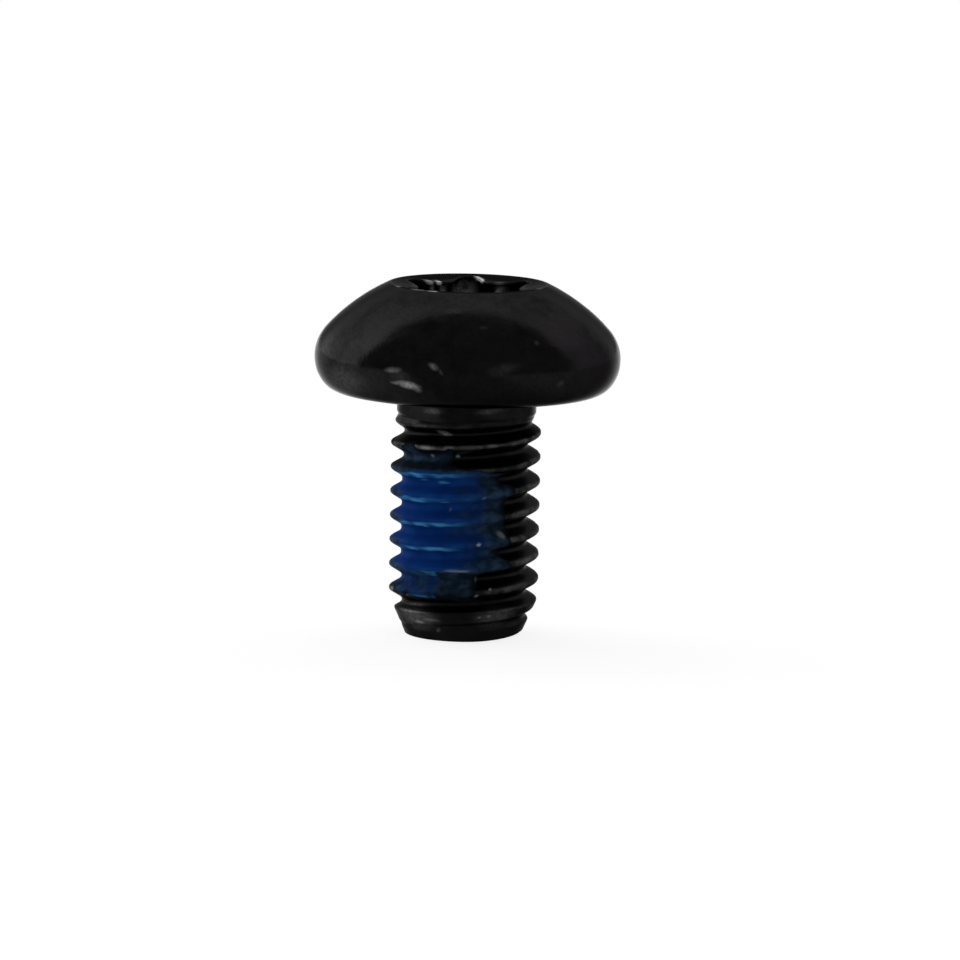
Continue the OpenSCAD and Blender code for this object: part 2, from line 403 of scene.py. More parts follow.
def cone_slope(full_angle):
    """Rise of a cone's side over its run outwards."""
    return 1 / math.tan(math.radians(full_angle / 2))


def ring_points(radius, z):
    """Points of a ring round the axis."""
    return np.stack([radius * np.cos(COLUMN_ANGLES), radius * np.sin(COLUMN_ANGLES), z], -1)


def shank_points(radius, z):
    """Points of the shank by column and row."""
    cosines, sines = np.cos(COLUMN_ANGLES)[:, None], np.sin(COLUMN_ANGLES)[:, None]
    return np.stack([radius * cosines, radius * sines, z], -1)


def socket_radius(angles):
    """Radius of the six-lobed wall at angles in radians, with one lobe towards -Y."""
    turn = 2 * math.pi / LOBES
    lobe_c = LOBE_OUT - LOBE_R
    reach = lobe_c * math.cos(turn / 2)
    rib_r = (lobe_c ** 2 + RIB_IN ** 2 - 2 * reach * RIB_IN - LOBE_R ** 2) / (2 * (LOBE_R + reach - RIB_IN))
    rib_c = RIB_IN + rib_r
    edge = math.atan2(rib_c * math.sin(turn / 2), rib_c * math.cos(turn / 2) - lobe_c)
    touch = math.atan2(LOBE_R * math.sin(edge), lobe_c + LOBE_R * math.cos(edge))
    off_lobe = np.abs((angles - math.pi / 2 + turn / 2) % turn - turn / 2)
    off_rib = turn / 2 - off_lobe
    lobe_half = np.sqrt(np.clip(LOBE_R ** 2 - (lobe_c * np.sin(off_lobe)) ** 2, 0, None))
    rib_half = np.sqrt(np.clip(rib_r ** 2 - (rib_c * np.sin(off_rib)) ** 2, 0, None))
    lobe = lobe_c * np.cos(off_lobe) + lobe_half
    rib = rib_c * np.cos(off_rib) - rib_half
    return np.where(off_lobe < touch, lobe, rib)


def glints(places):
    """How strong a painted highlight, partly a worn edge, is at each column, from 0 to 1."""
    share = np.zeros(COLUMNS)
    for angle, half_width, strength in places:
        off = np.abs((np.degrees(COLUMN_ANGLES) - angle + 180) % 360 - 180)
        share = np.maximum(share, strength * (1 - smoothstep(SPOT_CORE * half_width, half_width, off)))
    return share


def socket_rings():
    """Rings (radius, height, painted highlight, painted shade) of the socket, from its floor out to the rim
    of its mouth.
    """
    wall = socket_radius(COLUMN_ANGLES)
    ones, zeros = np.ones(COLUMNS), np.zeros(COLUMNS)
    wall_glint, edge_glint = glints(WALL_GLINTS), glints(EDGE_GLINTS)
    floor_z = RIM_Z - SOCKET_DEPTH
    wall_top = RIM_Z - (MOUTH_R - wall) * cone_slope(MOUTH_ANGLE)
    rings = []
    # The cone at the floor, and the flat round it
    for share in (0.15, 0.4, 0.7, 0.93):
        height = floor_z - POINT_R * (1 - share) * cone_slope(POINT_ANGLE)
        rings.append((ones * POINT_R * share, ones * height, zeros, zeros))
    for share in (0.1, 0.5, 0.94):
        rings.append((POINT_R + (wall - POINT_R) * share, ones * floor_z, zeros, zeros))
    # The wall: plain, then with its painted highlights, weaker higher up where more light falls, then its
    # upper edge
    for share in (0.015, 0.06, 0.2, 0.4, 0.55):
        rings.append((wall, floor_z + (wall_top - floor_z) * share, zeros, zeros))
    for share, fade in ((0.65, 1.0), (0.75, 0.85), (0.85, 0.55), (0.92, 0.30)):
        rings.append((wall, floor_z + (wall_top - floor_z) * share, fade * wall_glint, zeros))
    for share in (0.955, 0.985):
        rings.append((wall, floor_z + (wall_top - floor_z) * share, edge_glint, zeros))
    # The cone of the mouth, with painted shade away from its edge
    rim_start = MOUTH_R - RIM_ROUND
    cone_shade = MOUTH_SHADE * (1 - CONE_LOSS * smoothstep(*CONE_SIDES, np.abs(np.cos(COLUMN_ANGLES))))
    for share in (0.03, 0.12, 0.3, 0.6, 1.0):
        at_edge = share < 0.2
        radius = wall + (rim_start - wall) * share
        height = RIM_Z - (MOUTH_R - radius) * cone_slope(MOUTH_ANGLE)
        rings.append((radius, height, at_edge * edge_glint, (not at_edge) * cone_shade))
    return rings


def head_outline():
    """Points (r, z) of the head from the rim of the mouth to the neck, and how many are on the rim."""
    shoulder_c = np.array([HEAD_R - SHOULDER_R, WIDEST_Z])
    rim = np.array([MOUTH_R, RIM_Z])
    gap = np.linalg.norm(shoulder_c - rim)
    way = (shoulder_c - rim) / gap
    along = (DOME_R ** 2 - (DOME_R - SHOULDER_R) ** 2 + gap ** 2) / (2 * gap)
    aside = math.sqrt(DOME_R ** 2 - along ** 2)
    dome_c = rim + along * way + aside * np.array([way[1], -way[0]])
    low = math.atan2(*(shoulder_c - dome_c)[::-1])
    high = math.atan2(*(rim - dome_c)[::-1]) - RIM_ROUND / DOME_R
    dome = arc(dome_c, DOME_R, high, low, ARC_STEPS)
    rim_start = (MOUTH_R - RIM_ROUND, RIM_Z - RIM_ROUND * cone_slope(MOUTH_ANGLE))
    rim_bend = bend(rim_start, tuple(rim), dome[0], RIM_STEPS)
    shoulder = arc(shoulder_c, SHOULDER_R, low, 0, ARC_STEPS)
    lower = [
        (SEAT_R + (HEAD_R - SEAT_R) * math.cos(a), WIDEST_Z * (1 - math.sin(a)))
        for a in np.linspace(0, math.pi / 2, ARC_STEPS + 1)
    ]
    seat = [(r, 0) for r in np.linspace(SEAT_R, NECK_R + NECK_FILLET, SEAT_RINGS)]
    fillet_c = (NECK_R + NECK_FILLET, -NECK_FILLET)
    fillet = arc(fillet_c, NECK_FILLET, math.pi / 2, math.pi, FILLET_STEPS)
    outline = rim_bend[1:] + dome[1:] + shoulder[1:] + lower[1:] + seat[1:] + fillet[1:]
    return outline, len(rim_bend) - 1


def head_rings():
    """Rings (radius, height, painted highlight, painted shade) of the head, from the rim of the mouth round
    to the neck.
    """
    outline, rim_count = head_outline()
    ones = np.ones(COLUMNS)
    rim_glint = glints(RIM_GLINTS)
    # Painted shade on the rim of the mouth, thinning out towards +X and -X and where it has painted
    # highlights
    rim_shade = MOUTH_SHADE * (1 - smoothstep(*RIM_SIDES, np.abs(np.cos(COLUMN_ANGLES)))) * (1 - rim_glint)
    rings = []
    for k, (r, z) in enumerate(outline):
        on_rim = k < rim_count - 1
        rings.append((r * ones, z * ones, on_rim * rim_glint, on_rim * rim_shade))
    return rings


def dented(points):
    """Points of the head with a faint unevenness, all inwards."""
    outward = points - np.array([0, 0, WIDEST_Z])
    outward /= np.linalg.norm(outward, axis=-1, keepdims=True)
    depth = sum(deepest * (1 + wander(points, size, seed)) / 2 for deepest, size, seed in DENTS)
    return points - outward * depth[..., None]


def surface_place(z):
    """Radius of the screw's outside at a height, and the way up its meridian there as (dr, dz)."""
    if z < 0:
        return NECK_R, (0, 1)
    seat_margin, step = 0.01, 0.02
    outline = [p for p in head_outline()[0] if p[1] > seat_margin][::-1]
    heights = [p[1] for p in outline]
    radii = [p[0] for p in outline]
    low, r, high = np.interp([z - step, z, z + step], heights, radii)
    slope = Vector((high - low, 2 * step)).normalized()
    return r, tuple(slope)


def tip_lift(radius):
    """How far the cut end, bent up at one side, lies above its lowest point, at a ring of that radius."""
    return TIP_LIFT * np.maximum(0, radius * np.cos(COLUMN_ANGLES) / TIP_R) ** 2


def tip_rings():
    """Rings (radius, height, wear) of the tip, from the end of the taper in towards the middle."""
    ones = np.ones(COLUMNS)
    worn_rings = 3
    edge_r = TIP_R - TIP_ROUND
    edge = bend((TAPER_END_R, TIP_Z + TIP_ROUND), (TIP_R, TIP_Z), (edge_r, TIP_Z), TIP_STEPS)
    flat = [(edge_r * share, TIP_Z) for share in (0.9, 0.7, 0.45, 0.2)]
    return [(r * ones, z + tip_lift(r), (k < worn_rings) * ones) for k, (r, z) in enumerate(edge[1:] + flat)]


def off_crest(along):
    """Height over the nearest crest, negative below it, at a distance along one pitch."""
    return (along + PITCH / 2) % PITCH - PITCH / 2


def below_crest(along, low, high):
    """How far a point lies in the band between those distances below a crest, from 0 to 1."""
    soft = 0.06
    return plateau(-low - soft, -low, -high, -high + soft, off_crest(along))


def on_crest(radius, far, near):
    """How far a radius comes up to a crest, from 0 to 1 between two distances below it."""
    return smoothstep(CREST_R - far, CREST_R - near, radius)


def run_in(z):
    """How much of its depth the thread has at a height below the neck, from 0 to 1."""
    return smoothstep(NECK_LEN, NECK_LEN + RUNOUT, -z)


def thread_radius(along, z):
    """Radius of the steel at a distance along one pitch from a crest and at a height."""
    off_flat = np.abs(off_crest(along)) - CREST_FLAT / 2
    flank = CREST_R - off_flat / math.tan(math.radians(FLANK_ANGLE / 2))
    full = smooth_min(smooth_max(flank, ROOT_R, ROOT_ROUND), CREST_R, CREST_ROUND)
    rod = NECK_R - NECK_STEP
    radius = rod + (full - rod) * run_in(z)
    collar = smoothstep(-NECK_LEN - NECK_STEP, -NECK_LEN + NECK_STEP, z)
    radius = radius + (np.maximum(radius, NECK_R) - radius) * collar
    cone = TIP_R + (CREST_R - TIP_R) * (z - TIP_Z) / TIP_TAPER
    return smooth_min(radius, cone, NECK_STEP)


def thread_grid():
    """Heights, distances along a pitch, radii and points of the helical grid, by column and row.

    Row ROWS higher at column 0 is where a row arrives after one turn."""
    turns = math.ceil(-TIP_Z / PITCH) + 3
    rows = np.arange(turns * ROWS + 1)
    along = rows * PITCH / ROWS
    lowest = -CREST_OFFSET - PITCH * (turns - 1)
    z = lowest + along[None, :] + PITCH * np.arange(COLUMNS)[:, None] / COLUMNS
    along = np.broadcast_to(along[None, :], z.shape)
    radius = thread_radius(along, z)
    points = shank_points(radius, z)
    chipped = patchy(points, **CHIP_PATCHES) * on_crest(radius, CHIP_REACH, 0)
    uneven = (1 + wander(points, ROUGH_SIZE, seed=8)) / 2 * run_in(z)
    radius = radius - CHIP_DEPTH * chipped - THREAD_ROUGH * uneven
    return z, along, radius, shank_points(radius, z)


def thread_rub_and_glint(along, z, points):
    """How strong the painted highlight on the bare thread is, partly rubbing, in patches on its crests and
    lower flanks.
    """
    rub_and_glint = below_crest(along, *RUB_AND_GLINT_BAND) * run_in(z) * smoothstep(*RUB_AND_GLINT_START, z)
    patches = at_least(RUB_AND_GLINT_LEAST, patchy(points, **RUB_AND_GLINT_PATCHES))
    less = GLINT_SHADED_LOSS * plateau(*GLINT_SHADED_SIDE, np.degrees(COLUMN_ANGLES)[:, None])
    return FLANK_GLINT * rub_and_glint * patches * (1 - less)


class Skin:
    """Vertices, faces and per-vertex values of a mesh that is being built."""

    def __init__(self):
        self.points = []
        self.faces = []
        self.values = {}

    def add(self, points, **values):
        """Adds points and returns their indices."""
        first = len(self.points)
        self.points.extend(map(tuple, np.reshape(points, (-1, 3))))
        for name, value in values.items():
            self.values.setdefault(name, []).extend(np.ravel(value))
        return np.arange(first, len(self.points)).reshape(np.shape(points)[:-1])

    def face(self, *corners):
        """Adds a face, without corners that repeat."""
        kept = [c for k, c in enumerate(corners) if c != corners[k - 1]]
        if len(set(kept)) >= 3:
            self.faces.append(tuple(int(c) for c in kept))

    def bridge(self, upper, lower):
        """Joins two closed rings, the first nearer to the start of the outline."""
        for k in range(len(upper)):
            n = (k + 1) % len(upper)
            self.face(upper[k], lower[k], lower[n], upper[n])

    def piece(self, name, material):
        """Makes the object, in metres, with its material and its values as attributes."""
        mesh = bpy.data.meshes.new(name)
        mesh.from_pydata([tuple(c * MM for c in p) for p in self.points], [], self.faces)
        for value_name, value in self.values.items():
            layer = mesh.attributes.new(value_name, "FLOAT", "POINT")
            layer.data.foreach_set("value", np.array(value, np.float32))
        mesh.polygons.foreach_set("use_smooth", [True] * len(mesh.polygons))
        mesh.materials.append(material)
        mesh.update()
        made = bpy.data.objects.new(name, mesh)
        bpy.context.scene.collection.objects.link(made)
        return made


def add_head(skin):
    """Adds the socket and the head to a skin, and returns the last ring, at the neck."""
    zeros = np.zeros(COLUMNS)
    floor_z = RIM_Z - SOCKET_DEPTH - POINT_R * cone_slope(POINT_ANGLE)
    hub = skin.add(np.array([[0, 0, floor_z]]), wear=[0], glint=[0], soot=[0])[0]
    rings = []
    for radius, z, glint, soot in socket_rings():
        rings.append(skin.add(ring_points(radius, z), wear=zeros, glint=glint, soot=soot))
    for radius, z, glint, soot in head_rings():
        points = dented(ring_points(radius, z)) if z[0] > 0 else ring_points(radius, z)
        rings.append(skin.add(points, wear=zeros, glint=glint, soot=soot))
    for k in range(COLUMNS):
        skin.face(hub, rings[0][k], rings[0][(k + 1) % COLUMNS])
    for upper, lower in zip(rings, rings[1:]):
        skin.bridge(upper, lower)
    return rings[-1]


def add_thread(skin, top):
    """Adds the thread below a ring of the neck to a skin, and returns the ring where the tip starts."""
    zeros = np.zeros(COLUMNS)
    z, along, radius, points = thread_grid()
    end_z = TIP_Z + TIP_ROUND + tip_lift(TAPER_END_R)
    bottom = skin.add(ring_points(TAPER_END_R + zeros, end_z), wear=zeros, glint=zeros, soot=zeros)
    margin = PITCH / ROWS / 8
    above = z > -NECK_FILLET - margin
    below = z < end_z[:, None] + margin
    free = ~(above | below)
    crest = on_crest(radius, *WORN_CREST)
    rub_and_glint = thread_rub_and_glint(along, z, points)
    ids = np.where(above, top[:, None], bottom[:, None])
    ids[free] = skin.add(points[free], wear=crest[free], glint=rub_and_glint[free], soot=0 * crest[free])
    after_turn = np.concatenate([ids[0, ROWS:], np.full(ROWS, top[0])])
    ids = np.concatenate([ids, after_turn[None, :]])
    for c in range(COLUMNS):
        for j in range(ids.shape[1] - 1):
            skin.face(ids[c, j], ids[c + 1, j], ids[c + 1, j + 1], ids[c, j + 1])
    return bottom


def add_tip(skin, start):
    """Adds the round edge and the cut end of the tip to a skin, below a ring of the taper."""
    zeros = np.zeros(COLUMNS)
    last = start
    for radius, z, wear in tip_rings():
        ring = skin.add(ring_points(radius, z), wear=wear, glint=zeros, soot=zeros)
        skin.bridge(last, ring)
        last = ring
    end = skin.add(np.array([[0, 0, TIP_Z]]), wear=[0], glint=[0], soot=[0])[0]
    for k in range(COLUMNS):
        skin.face(end, last[(k + 1) % COLUMNS], last[k])


def build_screw(material):
    """The whole screw as one closed skin."""
    skin = Skin()
    neck = add_head(skin)
    taper_end = add_thread(skin, neck)
    add_tip(skin, taper_end)
    return skin.piece("screw_steel", material)


def inside(region, angles, z, radius, fade=1.0):
    """Distance inside a region of the shank, negative outside; its +X edge counts in parts of fade."""
    arc_length = np.radians(1) * radius
    return np.minimum.reduce([
        (angles - region["from"]) * arc_length,
        (region["to"] - angles) * arc_length / fade,
        z - region["low"],
        region["high"] - z,
    ])


def spots(places, angles, z, radius):
    """Strength and plain share, from 0 to 1, of small round places on the shank."""
    strongest = np.zeros_like(z)
    widest = np.zeros_like(z)
    for angle, height, half_width, half_height, strength in places:
        across = np.radians(angles - angle) * radius
        off = np.hypot(across / half_width, (z - height) / half_height)
        share = 1 - smoothstep(SPOT_CORE, 1.0, off)
        strongest = np.maximum(strongest, strength * share)
        widest = np.maximum(widest, share)
    return strongest, widest


def film_grid():
    """Angles, heights, distances along a pitch, radii and points of the thread where film can lie."""
    z, along, radius, points = thread_grid()
    first, last = (round(FILM_GRID[k] * COLUMNS / 360) for k in ("from", "to"))
    rows = np.flatnonzero((z[last] > FILM_GRID["low"]) & (z[first] < FILM_GRID["high"]))
    part = np.ix_(np.arange(first, last + 1), rows)
    angles = np.degrees(COLUMN_ANGLES[first:last + 1])[:, None] + 0 * z[part]
    return angles, z[part], along[part], radius[part], points[part]


def film_cover(angles, z, along, radius, points):
    """Shares, from 0 to 1, of thick film and of the thin film round it, and how bluish the thin film is."""
    rough = layered(points, FILM_RAGGED)
    thick_part = {
        **FILM_THICK,
        "from": FILM_THICK["from"] + layered(points, FILM_LEFT_RAGGED),
        "high": FILM_THICK["high"] - PITCH * (FILM_HIGH_AT - angles) / 360,
    }
    within = inside(thick_part, angles, z, radius, FILM_FADE / FILM_EDGE) + RAGGED_THICK * rough
    thick = smoothstep(-FILM_OUTSIDE, FILM_EDGE - FILM_OUTSIDE, within)

    top = smoothstep(*FILM_TOP, z)
    bottom = smoothstep(*FILM_BOTTOM, -z)
    thin_part = {**FILM_THIN, "to": FILM_THIN["to"] - FILM_BACK_TOP * top - FILM_BACK_BOTTOM * bottom}
    within = inside(thin_part, angles, z, radius) + RAGGED_THIN * rough
    thin = smoothstep(*THIN_START, within)
    tinge = smoothstep(*TINGE_START, within)
    # Painted shade on the bare upper flank above the film: the tinge gives way to the near-black edge colour
    shaded_flank = plateau(*UPPER_FLANK, off_crest(along)) * smoothstep(*FILM_SHADED_FLANK, z)
    tinge = tinge * (1 - FLANK_SHADE_LOSS * shaded_flank)

    within = inside(BARE_BLOCK, angles, z, radius) + RAGGED_BARE * rough
    knocked_off = smoothstep(*BARE_START, within)
    low_worn = bottom * (LOSS_LOW + LOSS_LOW_WORN * smoothstep(*FILM_LOW_WORN, angles))
    low_patches = bottom * patchy(points, **FILM_LOW_PATCHES)
    thick = thick * (1 - LOSS_BARE * knocked_off) * (1 - low_worn) * (1 - LOSS_LOW_PATCHES * low_patches)
    thick = np.maximum(thick, TOP_SHARE * thin * top)
    bare_crest = on_crest(radius, *FILM_CREST) * (1 - smoothstep(*FILM_BARE_CRESTS, angles))
    thick = thick * (1 - LOSS_CRESTS * bare_crest)
    return thick, thin, tinge


def film_streak_glints(angles, z, along, radius, points):
    """How strong the film's painted highlights in its pale streaks are, from 0 to 1."""
    end = STREAK_END + layered(points, STREAK_RAGGED)
    wavy = along + layered(points, STREAK_WAVES)
    streak_glint = below_crest(wavy, *STREAK_BAND) * at_least(STREAK_LEAST, patchy(points, **STREAK_PATCHES))
    streak_glint = streak_glint * (1 - smoothstep(-STREAK_FADE, STREAK_FADE, angles - end))
    streak_glint = streak_glint * at_least(STREAK_DIM, plateau(*STREAK_BRIGHT, angles))
    short_glint, _ = spots(FILM_SHORT_GLINTS, angles, z, radius)
    return np.maximum(streak_glint, short_glint)


def build_film(material):
    """The dried film: a closed skin, its inner side in the steel, its outer side along the thread."""
    angles, z, along, radius, points = film_grid()
    thick, thin, tinge = film_cover(angles, z, along, radius, points)
    streak_glint = film_streak_glints(angles, z, along, radius, points)
    # Painted shade on the upper flanks and on the film's -X side
    dim = plateau(*UPPER_FLANK, off_crest(along))
    dim = np.maximum(dim, SIDE_DIM * (1 - smoothstep(*FILM_LIGHTER, angles)))
    grain, bump = spots(GRAINS_AND_GLINT, angles, z, radius)
    filled = smooth_max(radius + FILM_FLANK, FILM_FILL_R, FILM_FILL_ROUND) - radius
    depth = (filled + layered(points, FILM_LUMPS)) * thick + FILM_MARGIN * thin - FILM_SINK
    depth = np.maximum(depth, depth * (1 - bump) + GRAIN_RISE * bump)

    outward = points * np.array([1, 1, 0]) / radius[..., None]
    skin = Skin()
    values = {"film": thick, "tinge": tinge, "streak_glint": streak_glint, "dim": dim, "grain": grain}
    outer = skin.add(points + outward * depth[..., None], **values)
    inner = skin.add(points - outward * FILM_INSET, **values)
    columns, count = z.shape
    for c in range(columns - 1):
        for j in range(count - 1):
            skin.face(outer[c, j], outer[c + 1, j], outer[c + 1, j + 1], outer[c, j + 1])
            skin.face(inner[c, j], inner[c, j + 1], inner[c + 1, j + 1], inner[c + 1, j])
    for c in range(columns - 1):
        skin.face(inner[c, 0], inner[c + 1, 0], outer[c + 1, 0], outer[c, 0])
        skin.face(outer[c, -1], outer[c + 1, -1], inner[c + 1, -1], inner[c, -1])
    for j in range(count - 1):
        skin.face(outer[0, j], outer[0, j + 1], inner[0, j + 1], inner[0, j])
        skin.face(inner[-1, j], inner[-1, j + 1], outer[-1, j + 1], outer[-1, j])
    return skin.piece("thread_lock_film", material)


def new_material(name):
    """An empty node material, its tree and its surface shader."""
    made = bpy.data.materials.new(name)
    made.use_nodes = True
    tree = made.node_tree
    return made, tree, tree.nodes["Principled BSDF"]


def put(tree, kind, inputs=None, **settings):
    """Adds a node with its settings, and its inputs as values or links."""
    made = tree.nodes.new(kind)
    for name, value in settings.items():
        setattr(made, name, value)
    for name, value in (inputs or {}).items():
        if isinstance(value, bpy.types.NodeSocket):
            tree.links.new(value, made.inputs[name])
        else:
            made.inputs[name].default_value = value
    return made


def noise_node(tree, place, size, detail):
    """Noise with features of about that many millimetres."""
    inputs = {"Vector": place, "Scale": 1 / (size * MM), "Detail": detail}
    return put(tree, "ShaderNodeTexNoise", inputs).outputs["Fac"]


def ranged(tree, value, low, high, to_low=0.0, to_high=1.0):
    """A value mapped smoothly from one range to another."""
    inputs = {"Value": value, "From Min": low, "From Max": high, "To Min": to_low, "To Max": to_high}
    return put(tree, "ShaderNodeMapRange", inputs, interpolation_type="SMOOTHSTEP").outputs["Result"]


def worked_out(tree, operation, *values):
    """A number worked out from others."""
    return put(tree, "ShaderNodeMath", dict(enumerate(values)), operation=operation).outputs[0]


def measured(tree, operation, *vectors):
    """A number worked out from vectors."""
    return put(tree, "ShaderNodeVectorMath", dict(enumerate(vectors)), operation=operation).outputs["Value"]


def blended(tree, share, first, second):
    """A colour between two others."""
    made = put(tree, "ShaderNodeMix", {"Factor": share}, data_type="RGBA")
    for socket, value in ((made.inputs[6], first), (made.inputs[7], second)):
        if isinstance(value, bpy.types.NodeSocket):
            tree.links.new(value, socket)
        else:
            socket.default_value = (*value, 1)
    return made.outputs[2]


def attribute(tree, name):
    """A value that the mesh holds at each point."""
    return put(tree, "ShaderNodeAttribute", attribute_name=name).outputs["Fac"]


def marks(tree, place):
    """Share of the painted highlights and scuffs of the marks: soft ellipsoids that stand on the screw's
    surface.
    """
    share = 0.0
    for angle, z, half_width, half_height, slant, strength in MARKS:
        radius, (dr, dz) = surface_place(z)
        turn = math.radians(angle)
        outward = Vector((math.cos(turn), math.sin(turn), 0))
        across = Vector((-math.sin(turn), math.cos(turn), 0))
        up = outward * dr + Vector((0, 0, dz))
        lean = Quaternion(across.cross(up), math.radians(slant))
        axes = Matrix((lean @ across, lean @ up, across.cross(up))).transposed()
        depth = max(MARK_DEPTH, MARK_DEPTH_SHARE * half_width)
        inputs = {
            "Vector": place,
            "Location": (outward * radius + Vector((0, 0, z))) * MM,
            "Rotation": axes.to_euler("XYZ"),
            "Scale": (half_width * MM, half_height * MM, depth * MM),
        }
        local = put(tree, "ShaderNodeMapping", inputs, vector_type="TEXTURE").outputs["Vector"]
        mark = ranged(tree, measured(tree, "LENGTH", local), 1.0, MARK_CORE, 0.0, strength)
        share = worked_out(tree, "MAXIMUM", share, mark)
    return share


def steel_material():
    """Black steel: mottled, satin, edge-worn, with painted highlights, scuffs and painted shade in its
    mouth.
    """
    made, tree, shader = new_material("black_steel")
    place = put(tree, "ShaderNodeTexCoord").outputs["Object"]
    noises = {name: noise_node(tree, place, *values) for name, values in STEEL_NOISE.items()}
    grain, patches = noises["grain"], noises["patches"]

    # Colour: the mottled finish, then what is worn, the painted shade, the painted highlights and the marks
    colour = blended(tree, ranged(tree, noises["cloud"], *COLOUR_LEVELS), STEEL_DARK, STEEL_PALE)
    for name, levels, most, mottle in STEEL_MOTTLING:
        colour = blended(tree, ranged(tree, noises[name], *levels, 0, most), colour, mottle)
    worn_patches = ranged(tree, patches, *WORN_PATCHES)
    worn = worked_out(tree, "MULTIPLY", attribute(tree, "wear"), worn_patches)
    colour = blended(tree, worn, colour, STEEL_WORN)
    soot = attribute(tree, "soot")
    colour = blended(tree, soot, colour, STEEL_SHADE)
    glint_patches = ranged(tree, patches, *GLINT_PATCHES)
    rub_and_glint = worked_out(tree, "MULTIPLY", attribute(tree, "glint"), glint_patches)
    colour = blended(tree, rub_and_glint, colour, STEEL_GLINT_AND_RUB)
    scuff_and_glint_grain = ranged(tree, grain, *SCUFF_AND_GLINT_GRAIN)
    scuff_and_glint = worked_out(tree, "MULTIPLY", marks(tree, place), scuff_and_glint_grain)
    colour = blended(tree, scuff_and_glint, colour, STEEL_SCUFF_AND_GLINT)
    tree.links.new(colour, shader.inputs["Base Color"])

    # The painted highlights, the marks and the painted shade are matt
    matt = worked_out(tree, "MAXIMUM", worked_out(tree, "MAXIMUM", scuff_and_glint, rub_and_glint), soot)
    tree.links.new(worked_out(tree, "SUBTRACT", 1.0, matt), shader.inputs["Metallic"])

    # Gloss: satin on the head, and rougher on the thread
    height = put(tree, "ShaderNodeSeparateXYZ", {0: place}).outputs["Z"]
    thread_start, thread_full = -NECK_LEN * MM, -(NECK_LEN + RUNOUT / 2) * MM
    thread = ranged(tree, height, thread_start, thread_full, 0.0, THREAD_ROUGHER)
    satin = ranged(tree, patches, *GLOSS_LEVELS, *HEAD_ROUGHNESS)
    tree.links.new(worked_out(tree, "ADD", satin, thread), shader.inputs["Roughness"])
    shader.inputs["Specular IOR Level"].default_value = 0.0
    shader.inputs["Specular Tint"].default_value = (0.5, 0.5, 0.5, 1)
    relief = worked_out(tree, "ADD", grain, patches)
    bump = put(tree, "ShaderNodeBump", {"Height": relief, **STEEL_BUMP})
    tree.links.new(bump.outputs["Normal"], shader.inputs["Normal"])
    return made


def film_material():
    """Dried blue film: deep blue where thick, slate where thin, almost matt, with painted shade and
    highlights.
    """
    made, tree, shader = new_material("blue_film")
    place = put(tree, "ShaderNodeTexCoord").outputs["Object"]
    noises = {name: noise_node(tree, place, *values) for name, values in FILM_NOISE.items()}
    blue = blended(tree, ranged(tree, noises["cloud"], *COLOUR_LEVELS), FILM_BLUE, FILM_BLUE_PALE)
    # Painted shade on the upper flanks and on the -X side
    dim = worked_out(tree, "MULTIPLY", attribute(tree, "dim"), DIM_SHARE)
    blue = blended(tree, dim, blue, FILM_DIM)
    # Painted highlights in the pale streaks
    blue = blended(tree, attribute(tree, "streak_glint"), blue, FILM_STREAK_GLINT)
    slate = blended(tree, ranged(tree, noises["blots"], *COLOUR_LEVELS), FILM_SLATE, FILM_SLATE_PALE)
    slate = blended(tree, attribute(tree, "tinge"), FILM_THIN_EDGE, slate)
    colour = blended(tree, ranged(tree, attribute(tree, "film"), *BLUE_LEVELS), slate, blue)
    # Grains, and a painted highlight along the knocked-off place
    colour = blended(tree, attribute(tree, "grain"), colour, FILM_GRAIN_AND_GLINT)
    tree.links.new(colour, shader.inputs["Base Color"])
    roughness = ranged(tree, noises["grit"], *GLOSS_LEVELS, *FILM_ROUGHNESS)
    tree.links.new(roughness, shader.inputs["Roughness"])
    shader.inputs["Specular IOR Level"].default_value = FILM_GLOSS
    bump = put(tree, "ShaderNodeBump", {"Height": noises["grit"], **FILM_BUMP})
    tree.links.new(bump.outputs["Normal"], shader.inputs["Normal"])
    return made


